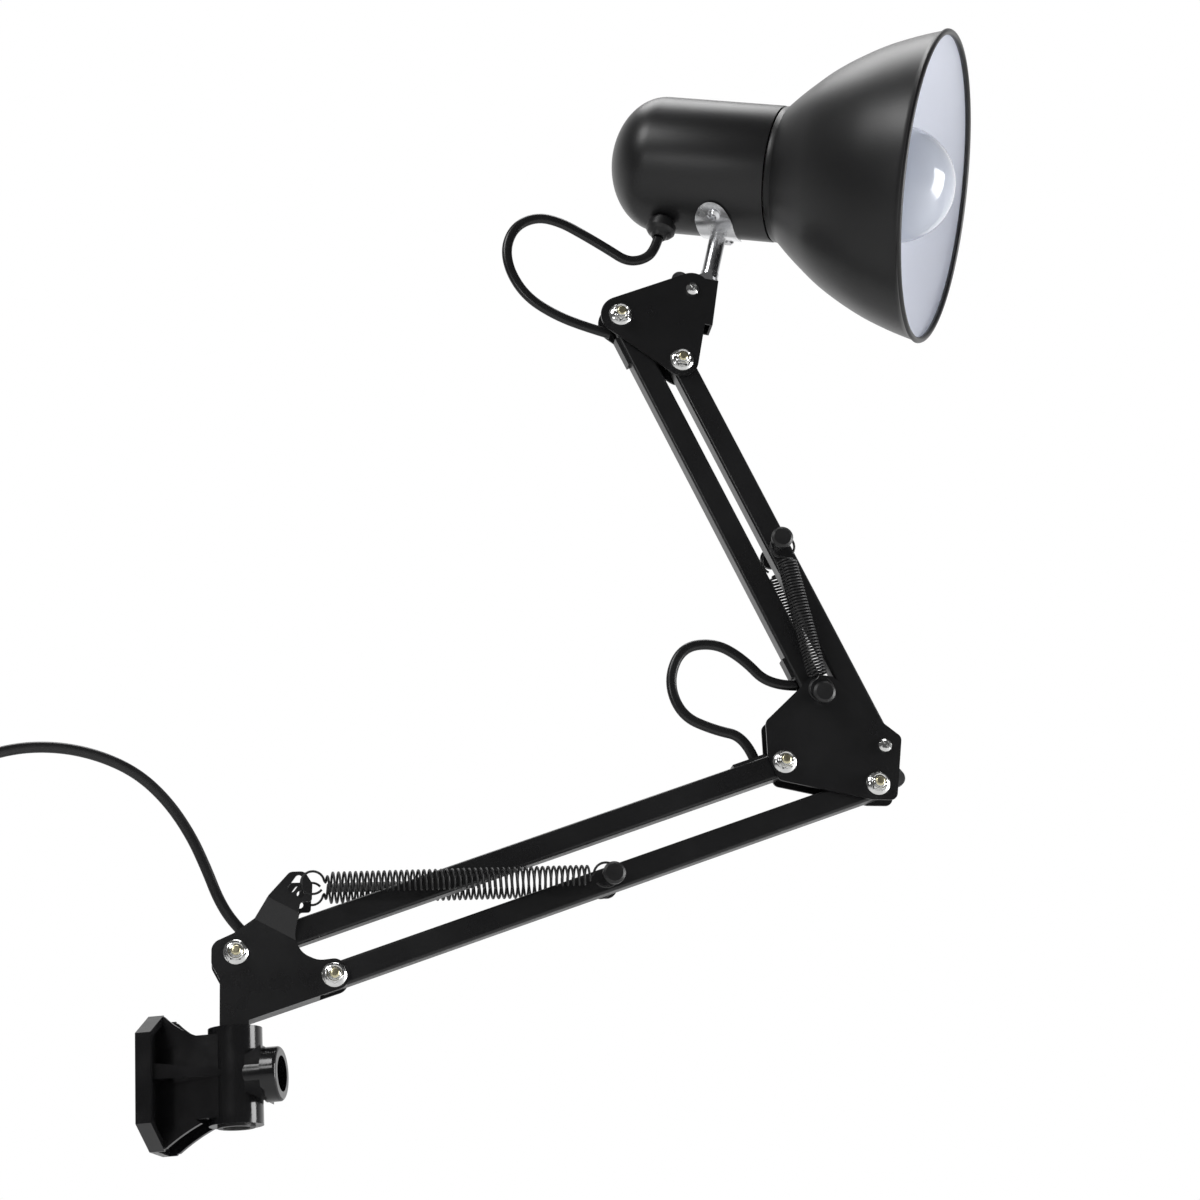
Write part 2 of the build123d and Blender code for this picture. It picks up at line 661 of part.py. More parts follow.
SADDLE_IN = CAP_R + 0.05
with BuildPart() as head_stem:
    with BuildSketch(stem_frame.offset(COLLAR_HEIGHT + 0.1)):
        Circle(STEM_R)
        Circle(STEM_PIN_R + 0.06, mode=Mode.SUBTRACT)
    extrude(amount=HEAD_HEIGHT - SADDLE_IN - SADDLE_T - COLLAR_HEIGHT - 0.5)
save(head_stem, "head_stem")

axis_side = Plane(origin=head_frame.origin, x_dir=head_frame.x_dir, z_dir=head_frame.y_dir * -1)
head_front = Plane(origin=head_frame.origin, x_dir=head_frame.y_dir, z_dir=head_frame.x_dir)
SADDLE_TOP = -28.3        # tips of the saddle's two ears, below the head axis
SADDLE_HALF = 10.0        # half its length along the head
SADDLE_SCREW_TURN = 27.4  # its screws, from straight down
SADDLE_SCREW_X = 1.0


def saddle_screw_plane(way):
    """A plane on the head axis whose normal runs out through a saddle screw."""
    down = head_frame.z_dir * -cos(radians(SADDLE_SCREW_TURN))
    outward = head_frame.y_dir * way * sin(radians(SADDLE_SCREW_TURN))
    origin = head_frame.origin + head_frame.x_dir * SADDLE_SCREW_X
    return Plane(origin=origin, x_dir=head_frame.x_dir, z_dir=down + outward)


with BuildPart() as head_saddle:
    with BuildSketch(head_front.offset(-SADDLE_HALF - 1)):
        Circle(SADDLE_IN + SADDLE_T)
        Circle(SADDLE_IN, mode=Mode.SUBTRACT)
    extrude(amount=2 * SADDLE_HALF + 2)
    with BuildSketch(axis_side) as leaf:
        with BuildLine():
            Line((-SADDLE_HALF, -40), (-SADDLE_HALF, -34.6))
            ThreePointArc((-SADDLE_HALF, -34.6), (-5.6, -29.8), (0, SADDLE_TOP))
            ThreePointArc((0, SADDLE_TOP), (5.6, -29.8), (SADDLE_HALF, -34.6))
            Polyline((SADDLE_HALF, -34.6), (SADDLE_HALF, -40), (-SADDLE_HALF, -40))
        make_face()
    extrude(amount=60, both=True, mode=Mode.INTERSECT)
    for way in (1, -1):
        with BuildSketch(saddle_screw_plane(way)):
            Circle(2.1)
        extrude(amount=60, mode=Mode.SUBTRACT)
save(head_saddle, "head_saddle")

screw_solids = []
for way in (1, -1):
    outward = saddle_screw_plane(way)
    screw_plane = Plane(origin=outward.origin, x_dir=outward.z_dir, z_dir=head_frame.x_dir)
    screw = spin(screw_plane, [(28, 0), (28, 1.9), (36.5, 1.9), (36.5, 3.3), (37.4, 3.3), (38.6, 2), (38.6, 0)])
    with BuildPart() as crossed:
        add(screw.part)
        with BuildSketch(outward.offset(37.5)):
            Rectangle(3.8, 0.9, rotation=25)
            Rectangle(0.9, 3.8, rotation=25)
        extrude(amount=3, mode=Mode.SUBTRACT)
    screw_solids.append(crossed.part)
save(group(screw_solids), "saddle_screws")

GROMMET_X = -28.0
GROMMET_TURN = 12.3       # from straight down, towards the near side
grommet_down = head_frame.z_dir * -cos(radians(GROMMET_TURN)) - head_frame.y_dir * sin(radians(GROMMET_TURN))
grommet_plane = Plane(
    origin=head_frame.origin + head_frame.x_dir * GROMMET_X,
    x_dir=head_frame.x_dir,
    z_dir=grommet_down,
)
with BuildPart() as lamp_cap:
    with BuildSketch(axis_side):
        with BuildLine():
            dome_end = CAP_BACK + DOME
            EllipticalCenterArc((dome_end, NOSE_R), DOME, CAP_R - NOSE_R, 90, arc_size=90)
            Polyline((CAP_BACK, NOSE_R), (CAP_BACK, 0), (CAP_BACK + CAP_WALL, 0), (CAP_BACK + CAP_WALL, NOSE_R))
            EllipticalCenterArc((dome_end, NOSE_R), DOME - CAP_WALL, CAP_R - CAP_WALL - NOSE_R, 90, arc_size=90)
            Polyline(
                (dome_end, CAP_R - CAP_WALL), (CAP_FRONT, CAP_R - CAP_WALL), (CAP_FRONT, CAP_R), (dome_end, CAP_R)
            )
        make_face()
    revolve(axis=Axis(axis_side.origin, axis_side.x_dir))
    with BuildSketch(grommet_plane):
        Circle(5.0)
    extrude(amount=60, mode=Mode.SUBTRACT)
    for way in (1, -1):
        with BuildSketch(saddle_screw_plane(way)):
            Circle(2.0)
        extrude(amount=60, mode=Mode.SUBTRACT)
save(lamp_cap, "lamp_cap")

cord_grommet = spin(
    Plane(origin=grommet_plane.origin, x_dir=grommet_down, z_dir=head_frame.x_dir),
    [(31, 2.7), (31, 6.4), (33.2, 6.4), (33.2, 4.9), (35.9, 4.9), (35.9, 6.2), (37.6, 6.2), (38.2, 7.6),
     (41.6, 7.6), (43.2, 6.4), (44.4, 4.4), (46, 3.6), (46, 2.7)],
)
save(cord_grommet, "cord_grommet")

SHADE_WALL = 1.0
NECK_X = 27.0
BEAD_R = 1.6
shade_curve = [(31, 35.2), (54, 55.4), (80, 69.6), (SHADE_MOUTH - 1.6, SHADE_R - 1.4)]
with BuildPart() as lamp_shade:
    with BuildSketch(axis_side):
        with BuildLine():
            outer = Spline(*shade_curve, tangents=((0.75, 1), (1, 0.36)))
            inner = Spline(
                *[(x + 0.55 * SHADE_WALL * (1 - i * 0.25), r - SHADE_WALL * (0.8 + i * 0.1))
                  for i, (x, r) in enumerate(shade_curve)],
                tangents=((0.75, 1), (1, 0.36)),
            )
            Polyline(outer @ 0, (NECK_X, 34.0), (NECK_X, 20.8), (NECK_X + 1, 20.8), (NECK_X + 1, 33.0), inner @ 0)
            Line(inner @ 1, outer @ 1)
        make_face()
    revolve(axis=Axis(axis_side.origin, axis_side.x_dir))
    with BuildSketch(axis_side):
        with Locations((SHADE_MOUTH - BEAD_R, SHADE_R - BEAD_R)):
            Circle(BEAD_R)
    revolve(axis=Axis(axis_side.origin, axis_side.x_dir))
save(lamp_shade, "lamp_shade")

lampholder = spin(axis_side, [
    (-16, 0), (-16, 12), (-12, 17), (6, 17), (6, 24), (NECK_X - 0.1, 24), (NECK_X - 0.1, 20.2), (46, 20.2),
    (47, 18.5), (47, 15.2), (4, 15.2), (4, 0),
])
save(lampholder, "lampholder")
lampholder_ring = spin(axis_side, [(28.2, 20.5), (28.2, 28), (30, 28), (32, 25), (40, 24), (40, 20.5)])
save(lampholder_ring, "lampholder_ring")
with BuildPart() as lampholder_contacts:
    with BuildSketch(head_front.offset(7)):
        Circle(15.0)
        Circle(13.6, mode=Mode.SUBTRACT)
    extrude(amount=30)
    with BuildSketch(head_front.offset(4.1)):
        Rectangle(6, 16)
    extrude(amount=0.6)
    with BuildSketch(head_front.offset(4.7)):
        Rectangle(6, 5)
    extrude(amount=4)
save(lampholder_contacts, "lampholder_contacts")

BULB_TIP = 118.0
BULB_R = 30.0
BULB_BASE = 12.0
bulb_cap = spin(axis_side, [
    (BULB_BASE - 3, 0), (BULB_BASE - 3, 4.5), (BULB_BASE - 1.6, 5), (BULB_BASE, 9.5), (BULB_BASE + 2, 13.2),
    (BULB_BASE + 25, 13.2), (BULB_BASE + 25, 12), (BULB_BASE + 3, 12), (BULB_BASE + 3, 0),
])
save(bulb_cap, "bulb_cap")
BULB_CENTRE = BULB_TIP - BULB_R
GLASS = 1.0
SHOULDER_TURN = 131.0     # where the bulb's ball meets its neck, from the tip
with BuildPart() as bulb_glass:
    with BuildSketch(axis_side):
        with BuildLine():
            ball = CenterArc((BULB_CENTRE, 0), BULB_R, 0, SHOULDER_TURN)
            neck = (BULB_BASE + 27, 13.0)
            Spline(neck, (BULB_BASE + 41, 16.6), ball @ 1, tangents=((1, 0.05), (0.755, 0.656)))
            inner_neck = (neck[0] + 0.3, neck[1] - GLASS)
            Polyline(
                neck, (BULB_BASE + 25.2, 11.8), (BULB_BASE + 11, 11.8), (BULB_BASE + 11, 11.8 - GLASS),
                (BULB_BASE + 25.5, 11.8 - GLASS), inner_neck,
            )
            inside = CenterArc((BULB_CENTRE, 0), BULB_R - GLASS, 0, SHOULDER_TURN)
            Spline(inner_neck, (BULB_BASE + 41.4, 16.6 - GLASS), inside @ 1, tangents=((1, 0.05), (0.755, 0.656)))
            Line(inside @ 0, ball @ 0)
        make_face()
    revolve(axis=Axis(axis_side.origin, axis_side.x_dir))
save(bulb_glass, "bulb_glass")

# ---- cords ----


def route(points):
    """Points of the arm frame (x, depth, z) in the row frame."""
    return [at(x, z, depth) for x, depth, z in points]


def corner_radii(points):
    """The largest tangent arc at each corner that leaves its two runs a straight tenth."""
    radii = []
    for before, here, after in zip(points, points[1:], points[2:]):
        turn = radians((here - before).get_angle(after - here))
        shorter = min((here - before).length, (after - here).length)
        radii.append(0.45 * shorter / tan(turn / 2))
    return radii


def cord_tube(points, diameter, name):
    """A plain round tube along straight runs joined by tangent arcs."""
    radii = corner_radii(points)
    with BuildPart() as tube:
        with BuildLine() as path:
            FilletPolyline(*points, radius=radii)
        with BuildSketch(Plane(origin=path.line @ 0, z_dir=path.line % 0)):
            Circle(diameter / 2)
        sweep()
    length = sum(edge.length for edge in path.edges())
    expected = pi * diameter ** 2 / 4 * length
    print(f"{name}: length {length:.0f}, volume ratio {tube.part.volume / expected:.3f}, radii",
          " ".join(f"{radius:.0f}" for radius in radii))
    save(tube, name)


def straight_cord(start, end, diameter, name):
    """A straight stretch of cord."""
    with BuildPart() as stretch:
        with BuildSketch(Plane(origin=start, z_dir=end - start)):
            Circle(diameter / 2)
        extrude(amount=(end - start).length)
    save(stretch, name)


def inner_cord(start, angle, slots, name):
    """The cord's straight run inside a bar, from one slot to the other, against the slotted wall."""
    along = side(start, angle)
    lift = along.y_dir * (BAR_HEIGHT / 2 - BAR_WALL - INNER_CORD_D / 2 - 0.1)
    straight_cord(along.origin + along.x_dir * slots[0] + lift, along.origin + along.x_dir * slots[1] + lift,
                  INNER_CORD_D, name)


INNER_CORD_D = 4.6
inner_cord(base_top, LOWER_ANGLE, (LOWER_SLOTS[0] + 1, LOWER_SLOTS[1] - 1), "lower_bar_cord")
inner_cord(elbow_axle_at, UPPER_ANGLE, (UPPER_SLOTS[0] + 1, UPPER_SLOTS[1] - 1), "upper_bar_cord")

mains_points = route([
    (5.8, 0, 8.2), (-0.5, 0, 14.5), (-7.5, 0, 26), (-13, -1, 41), (-20, -3, 57), (-30.5, -6, 73), (-44, -11, 85.5),
    (-61, -17, 93), (-80, -24, 96), (-100, -31, 94), (-119, -37, 86.5), (-136, -45, 73), (-147, -56, 55),
    (-151, -68.5, 40), (-152, -77.5, 28), (-152, -80.6, 20),
])
cord_tube(mains_points, CORD_D, "mains_cord")
elbow_points = route([
    (252.2, 0, 86.6), (248.2, 0, 99.2), (233, 0, 103), (217.5, 0, 110.5), (212, 0, 128), (219.5, 0, 145.5),
    (236.5, 0, 147.5), (250, 0, 139), (262, 0, 124.8), (275.8, 0, 124.6),
])
cord_tube(elbow_points, CORD_D, "elbow_cord")
head_points = route([
    (194.2, 0, 312.8), (182, 0, 316.8), (166.5, 0, 323.5), (152.5, 0, 333.5), (144.5, 0, 347.5),
    (142.8, 0, 361.5), (148.5, 0, 373.5), (160, 0, 378.6), (172, 0, 375.5), (184, 0, 368), (196, -0.4, 359.7),
    (204.5, -1.2, 353), (212.5, -2.4, 352.8), (219.1, -2.7, 357.4), (221.9, -1.8, 365.7),
])
cord_tube(head_points, CORD_D, "head_cord")

COIL_R = 29.0             # middle of the coil's turns
COIL_AT = (-152, -52, -4)  # arm frame; the turns stand in the plane across the arm
COIL_HALF_W = 8.0
COIL_HALF_T = 5.5
TIE_WALL = 0.9
TIE_TURN = 12.0           # of the coil, under the tie

coil_centre = at(COIL_AT[0], COIL_AT[2], COIL_AT[1])
coil_section = Plane(origin=coil_centre, x_dir=arm_frame.y_dir, z_dir=(0, 0, 1))
with BuildPart() as mains_cord_coil:
    with BuildSketch(coil_section):
        with Locations((COIL_R, 0)):
            RectangleRounded(2 * COIL_HALF_T, 2 * COIL_HALF_W, 2.6)
    revolve(axis=Axis(coil_centre, arm_x))
save(mains_cord_coil, "mains_cord_coil")

with BuildPart() as cord_tie:
    with BuildSketch(coil_section):
        with Locations((COIL_R, 0)):
            RectangleRounded(2 * (COIL_HALF_T + TIE_WALL), 2 * (COIL_HALF_W + TIE_WALL), 3.4)
            RectangleRounded(2 * COIL_HALF_T + 0.06, 2 * COIL_HALF_W + 0.06, 2.6, mode=Mode.SUBTRACT)
    revolve(axis=Axis(coil_centre, arm_x), revolution_arc=TIE_TURN)
save(cord_tie, "cord_tie")

# ---- inline switch and plug, hanging below the coil ----
LEAD_AT = (-152, -81)     # arm frame x and depth of the lead below the coil
LEAD_TOP = -26.5
CASE_TOP = -38.0
CASE_LENGTH = 56.0
CASE_WIDTH = 24.0
CASE_THICK = 16.0
SLIDER_TRAVEL = 5.0
SLIDER_LENGTH = 10.0
TAIL_BOTTOM = -113.0
PLUG_LENGTH = 36.0
PIN_SPACING = 19.0
PIN_LENGTH = 19.0


def lead_plane(z, point_down=False):
    """A level plane on the lead, its x along the wall."""
    return Plane(origin=at(LEAD_AT[0], z, LEAD_AT[1]), x_dir=(0, 1, 0), z_dir=(0, 0, -1 if point_down else 1))


slider_face = Plane(
    origin=at(LEAD_AT[0], CASE_TOP - CASE_LENGTH / 2, LEAD_AT[1]) + Vector(CASE_THICK / 2, 0, 0),
    x_dir=(0, 1, 0),
    z_dir=(1, 0, 0),
)
with BuildPart() as inline_switch_case:
    with BuildSketch(lead_plane(CASE_TOP, True)):
        RectangleRounded(CASE_WIDTH, CASE_THICK, 5)
    extrude(amount=CASE_LENGTH)
    fillet(inline_switch_case.faces().group_by(Axis.Z)[0].edges(), 3)
    fillet(inline_switch_case.faces().group_by(Axis.Z)[-1].edges(), 3)
    with BuildSketch(slider_face):
        RectangleRounded(9.0, SLIDER_LENGTH + SLIDER_TRAVEL + 0.8, 1.5)
    extrude(amount=-4, mode=Mode.SUBTRACT)
save(inline_switch_case, "inline_switch_case")

with BuildPart() as inline_switch_slider:
    with BuildSketch(slider_face.offset(-3.6)):
        with Locations((0, SLIDER_TRAVEL / 2)):
            RectangleRounded(8.2, SLIDER_LENGTH, 1.2)
    extrude(amount=5.2)
    for rib in (-3, 0, 3):
        with BuildSketch(slider_face.offset(1.4)):
            with Locations((0, SLIDER_TRAVEL / 2 + rib)):
                Rectangle(7.0, 1.2)
        extrude(amount=0.9)
save(inline_switch_slider, "inline_switch_slider")

lead_solids = []
for top, bottom in ((LEAD_TOP, CASE_TOP), (CASE_TOP - CASE_LENGTH, TAIL_BOTTOM)):
    with BuildPart() as stretch:
        with BuildSketch(lead_plane(top, True)):
            Circle(CORD_D / 2)
        extrude(amount=top - bottom)
    lead_solids.append(stretch.part)
save(group(lead_solids), "mains_cord_tail")

with BuildPart() as mains_plug:
    with BuildSketch(lead_plane(TAIL_BOTTOM, True)):
        Circle(4.2)
    with BuildSketch(lead_plane(TAIL_BOTTOM - PLUG_LENGTH * 0.6, True)):
        RectangleRounded(27, 13.5, 6)
    loft()
    with BuildSketch(lead_plane(TAIL_BOTTOM - PLUG_LENGTH * 0.6, True)):
        RectangleRounded(27, 13.5, 6)
    extrude(amount=PLUG_LENGTH * 0.4)
    with BuildSketch(lead_plane(TAIL_BOTTOM - PLUG_LENGTH, True)):
        with GridLocations(PIN_SPACING, 0, 2, 1):
            Circle(2.0)
    extrude(amount=PIN_LENGTH)
save(mains_plug, "mains_plug")
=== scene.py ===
import json
from math import cos, exp, pi, radians, sin, tau

import bmesh
import bpy
from mathutils import Matrix, Vector


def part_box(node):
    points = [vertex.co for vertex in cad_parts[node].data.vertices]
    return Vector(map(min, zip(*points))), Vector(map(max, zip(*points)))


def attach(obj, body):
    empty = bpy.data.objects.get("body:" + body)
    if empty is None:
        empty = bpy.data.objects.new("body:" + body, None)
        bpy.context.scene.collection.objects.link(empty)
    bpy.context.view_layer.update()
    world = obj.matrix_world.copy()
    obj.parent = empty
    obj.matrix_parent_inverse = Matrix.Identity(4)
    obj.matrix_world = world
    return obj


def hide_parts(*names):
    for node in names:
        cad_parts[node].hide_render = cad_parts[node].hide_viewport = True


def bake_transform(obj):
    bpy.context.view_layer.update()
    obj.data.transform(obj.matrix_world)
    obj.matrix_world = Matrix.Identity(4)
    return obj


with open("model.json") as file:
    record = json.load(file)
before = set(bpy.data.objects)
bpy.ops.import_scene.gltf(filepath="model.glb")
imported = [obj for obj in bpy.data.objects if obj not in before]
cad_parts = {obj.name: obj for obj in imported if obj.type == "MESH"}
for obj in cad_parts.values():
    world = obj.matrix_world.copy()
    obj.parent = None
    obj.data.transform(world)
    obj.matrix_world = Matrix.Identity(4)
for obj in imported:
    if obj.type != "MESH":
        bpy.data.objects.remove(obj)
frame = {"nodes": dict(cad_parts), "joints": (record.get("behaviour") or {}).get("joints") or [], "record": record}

MM = 0.001                # metres
scene = bpy.context.scene
nodes = frame["nodes"]
joints = {joint["name"]: joint for joint in frame["joints"]}
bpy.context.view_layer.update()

# ---- frames ----
# The arm frame: x along the arm's own vertical plane, depth away from the viewer, z up, in millimetres
# from the lower arm's first pivot.
up = Vector((0, 0, 1))
arm_origin = Vector(joints["lower_arm_tilt"]["pos_m"])
far_side = -Vector(joints["lower_arm_tilt"]["axis"]).normalized()
arm_x = far_side.cross(up)


def at(x, depth, z):
    """A point of the arm frame, in the row frame and metres."""
    return arm_origin + (arm_x * x + far_side * depth + up * z) * MM


def place(name):
    """A hinge's point."""
    return Vector(joints[name]["pos_m"])


# The head frame: x along the head's axis to the mouth, y to the far side, z square to both. The head
# leans as its stem does and is turned about the upright, towards the viewer.
HEAD_SWIVEL = 21.7
HEAD_HEIGHT = 71.8        # the head's axis from the foot of its stem
COLLAR_HEIGHT = 14.6      # the swivel's point from the foot of the stem
stem_up = Vector(joints["head_swivel"]["axis"]).normalized()
head_y = Matrix.Rotation(-radians(HEAD_SWIVEL), 3, up) @ far_side
head_lean = stem_up.angle(up)
head_x = head_y.cross(up) * cos(head_lean) - up * sin(head_lean)
head_z = head_x.cross(head_y)
head_origin = place("head_swivel") + (head_z * HEAD_HEIGHT - stem_up * COLLAR_HEIGHT) * MM


# ---- camera, light and floor ----
CAMERA_AT = (3.4, -1301.8, -251.6)            # in the arm frame
CAMERA_TURN = 7.76        # to the right of the arm's depth
CAMERA_RISE = 17.82
CAMERA_ROLL = -3.40
CAMERA_LENS = 84
CAMERA_SENSOR = 36


def make_camera():
    """The camera of the photo's view, placed and turned from the arm frame."""
    turn, rise, roll = radians(CAMERA_TURN), radians(CAMERA_RISE), radians(CAMERA_ROLL)
    level = arm_x * sin(turn) + far_side * cos(turn)
    forward = level * cos(rise) + up * sin(rise)
    level_right = forward.cross(up).normalized()
    right = level_right * cos(roll) + level_right.cross(forward) * sin(roll)
    data = bpy.data.cameras.new("camera")
    data.lens = CAMERA_LENS
    data.sensor_width = CAMERA_SENSOR
    camera = bpy.data.objects.new("camera", data)
    scene.collection.objects.link(camera)
    turned = Matrix((right, right.cross(forward), -forward)).transposed()
    camera.matrix_world = Matrix.Translation(at(*CAMERA_AT)) @ turned.to_4x4()
    scene.camera = camera


def softbox(name, where, target, width, height, power):
    """A rectangular light that faces its target; metres and watts."""
    data = bpy.data.lights.new(name, "AREA")
    data.shape = "RECTANGLE"
    data.size = width
    data.size_y = height
    data.energy = power
    light = bpy.data.objects.new(name, data)
    light.location = where
    light.rotation_mode = "QUATERNION"
    light.rotation_quaternion = (where - target).to_track_quat("Z", "Y")
    scene.collection.objects.link(light)


FLOOR_Z = -0.30
WORLD_FRONT = 0.10        # the studio's light from the viewer's side
WORLD_BEHIND = 1.05       # and from the white sweep behind
SWEEP_BACK = 0.9          # the direction in which the sweep is brightest: backwards
SWEEP_DOWN = 0.35         # and a little downwards
SWEEP_STARTS = -0.2       # where along that direction the light begins to grow
SWEEP_ENDS = 0.75
WHITE = (1, 1, 1, 1)


def make_world():
    """A white studio: light that grows towards the back, and plain white where the camera sees it."""
    world = bpy.data.worlds.new("studio")
    world.use_nodes = True
    tree = world.node_tree
    tree.nodes.clear()
    add, link = tree.nodes.new, tree.links.new
    coordinates = add("ShaderNodeTexCoord")
    axis = add("ShaderNodeVectorMath")
    axis.operation = "DOT_PRODUCT"
    axis.inputs[1].default_value = (far_side * SWEEP_BACK - up * SWEEP_DOWN).normalized()
    link(coordinates.outputs["Generated"], axis.inputs[0])
    ramp = add("ShaderNodeMapRange")
    ramp.interpolation_type = "SMOOTHSTEP"
    ramp.inputs["From Min"].default_value = SWEEP_STARTS
    ramp.inputs["From Max"].default_value = SWEEP_ENDS
    ramp.inputs["To Min"].default_value = WORLD_FRONT
    ramp.inputs["To Max"].default_value = WORLD_BEHIND
    link(axis.outputs["Value"], ramp.inputs["Value"])
    lit = add("ShaderNodeBackground")
    link(ramp.outputs["Result"], lit.inputs["Strength"])
    lit.inputs["Color"].default_value = WHITE
    seen = add("ShaderNodeBackground")
    seen.inputs["Color"].default_value = WHITE
    path = add("ShaderNodeLightPath")
    mix = add("ShaderNodeMixShader")
    link(path.outputs["Is Camera Ray"], mix.inputs["Fac"])
    link(lit.outputs[0], mix.inputs[1])
    link(seen.outputs[0], mix.inputs[2])
    link(mix.outputs[0], add("ShaderNodeOutputWorld").inputs["Surface"])
    scene.world = world
    scene.view_settings.view_transform = "Standard"


# ---- materials ----
PATCH_DETAIL = 5
GRAIN_DETAIL = 3
NOISE_LOW = 0.3           # the span of noise over which the roughness drifts
NOISE_HIGH = 0.7
SMOOTHEST = 0.02
TINT = 1.35               # a patch's colour over the plain one, where no tint is given
GRAIN_HEIGHT = 0.0004     # metres
MIX_A, MIX_B = 6, 7       # a mix node's colour sockets
MIX_COLOUR = 2            # and its colour output


def finish(name, colour, roughness, metallic=0.0, vary=0.06, tint=None, patch=40.0, grain=900.0,
           depth=0.05, stretch=(1, 1, 1), **sockets):
    """A principled material: its colour and roughness drift in patches, and it has a fine grain."""
    material = bpy.data.materials.new(name)
    material.use_nodes = True
    tree = material.node_tree
    add, link = tree.nodes.new, tree.links.new
    shader = tree.nodes["Principled BSDF"]
    shader.inputs["Metallic"].default_value = metallic
    for socket, value in sockets.items():
        shader.inputs[socket.replace("_", " ")].default_value = value
    coordinates = add("ShaderNodeTexCoord")
    mapping = add("ShaderNodeMapping")
    mapping.inputs["Scale"].default_value = stretch
    link(coordinates.outputs["Object"], mapping.inputs["Vector"])
    patches = add("ShaderNodeTexNoise")
    patches.inputs["Scale"].default_value = patch
    patches.inputs["Detail"].default_value = PATCH_DETAIL
    link(mapping.outputs[0], patches.inputs["Vector"])
    drift = add("ShaderNodeMapRange")
    drift.inputs["From Min"].default_value = NOISE_LOW
    drift.inputs["From Max"].default_value = NOISE_HIGH
    drift.inputs["To Min"].default_value = max(SMOOTHEST, roughness - vary)
    drift.inputs["To Max"].default_value = roughness + vary
    link(patches.outputs["Fac"], drift.inputs["Value"])
    link(drift.outputs["Result"], shader.inputs["Roughness"])
    mix = add("ShaderNodeMix")
    mix.data_type = "RGBA"
    mix.inputs[MIX_A].default_value = (*colour, 1)
    mix.inputs[MIX_B].default_value = (*(tint or [c * TINT for c in colour]), 1)
    link(patches.outputs["Fac"], mix.inputs[0])
    link(mix.outputs[MIX_COLOUR], shader.inputs["Base Color"])
    fine = add("ShaderNodeTexNoise")
    fine.inputs["Scale"].default_value = grain
    fine.inputs["Detail"].default_value = GRAIN_DETAIL
    link(mapping.outputs[0], fine.inputs["Vector"])
    bump = add("ShaderNodeBump")
    bump.inputs["Strength"].default_value = depth
    bump.inputs["Distance"].default_value = GRAIN_HEIGHT
    link(fine.outputs["Fac"], bump.inputs["Height"])
    link(bump.outputs["Normal"], shader.inputs["Normal"])
    return material


DEEP_BLACK = (0.006, 0.006, 0.0065)
finishes = {
    "bracket_plastic": finish(
        "bracket_plastic", DEEP_BLACK, 0.17, vary=0.07, patch=60, grain=160, depth=0.22),
    "bush_nylon": finish(
        "bush_nylon", (0.02, 0.02, 0.02), 0.42, grain=1400),
    "black_enamel": finish(
        "black_enamel", (0.0075, 0.0075, 0.008), 0.3, vary=0.05, patch=35, grain=1100, depth=0.10),
    "head_enamel": finish(
        "head_enamel", DEEP_BLACK, 0.37, vary=0.03, patch=18, grain=1600, depth=0.07),
    "bright_zinc": finish(
        "bright_zinc", (0.7, 0.705, 0.71), 0.13, 1.0, vary=0.05, tint=(0.84, 0.84, 0.82),
        patch=300, grain=1500, depth=0.015),
    "bright_chrome": finish(
        "bright_chrome", (0.76, 0.77, 0.79), 0.24, 1.0, vary=0.06, tint=(0.86, 0.86, 0.87),
        patch=120, grain=1800, depth=0.03),
    "wing_steel": finish(
        "wing_steel", (0.2, 0.2, 0.205), 0.36, 1.0, vary=0.08, patch=220, grain=900, depth=0.2),
    "spring_steel": finish(
        "spring_steel", (0.007, 0.007, 0.0075), 0.42, vary=0.06, patch=260, grain=2000, depth=0.08),
    "soft_black": finish(
        "soft_black", (0.009, 0.009, 0.0095), 0.4, vary=0.05, patch=120, grain=1500, depth=0.14),
    "cord_pvc": finish(
        "cord_pvc", (0.008, 0.008, 0.0085), 0.3, vary=0.05, patch=90, grain=900, depth=0.04),
    "holder_bakelite": finish(
        "holder_bakelite", (0.8, 0.78, 0.73), 0.32, grain=1200),
    "contact_brass": finish(
        "contact_brass", (0.72, 0.52, 0.22), 0.25, 1.0, tint=(0.6, 0.42, 0.16), patch=200),
    # painted shade: the bulb's own white is given as a darker grey-blue, so that it looks shaded where it sits
    # deep inside the lamp shade
    "bulb_pearl": finish(
        "bulb_pearl", (0.46, 0.49, 0.56), 0.13, vary=0.03, tint=(0.5, 0.53, 0.6), patch=25, grain=700,
        depth=0.015, Coat_Weight=0.4, Coat_Roughness=0.05),
    "shade_white": finish(
        "shade_white", (0.82, 0.84, 0.91), 0.34, vary=0.05, tint=(0.86, 0.88, 0.94), patch=30,
        grain=1100, depth=0.06),
    "bolt_end": finish(
        "bolt_end", (0.66, 0.6, 0.38), 0.28, 1.0, tint=(0.78, 0.73, 0.52), patch=400, grain=1500,
        depth=0.02),
    "stem_chrome": finish(
        "stem_chrome", (0.42, 0.425, 0.435), 0.27, 1.0, vary=0.06, tint=(0.52, 0.52, 0.53), patch=150,
        grain=1500, depth=0.03, stretch=(6, 6, 1)),
}

# The nodes whose look isn't their slot's own.
LOOKS = {"head_stem": "stem_chrome"}


def dress_frame():
    """Every CAD node gets the finish of its slot, or its own look."""
    for part in frame["record"]["subparts"]:
        node = nodes[part["node"]]
        node.data.materials.clear()
        node.data.materials.append(finishes[LOOKS.get(part["node"], part["material_slot"])])


# ---- shared mesh makers ----
SHARP = radians(38)       # an edge that turns more than this stays sharp
TUBE_SHARP = radians(60)
MERGE = 1e-6              # points this close become one; metres


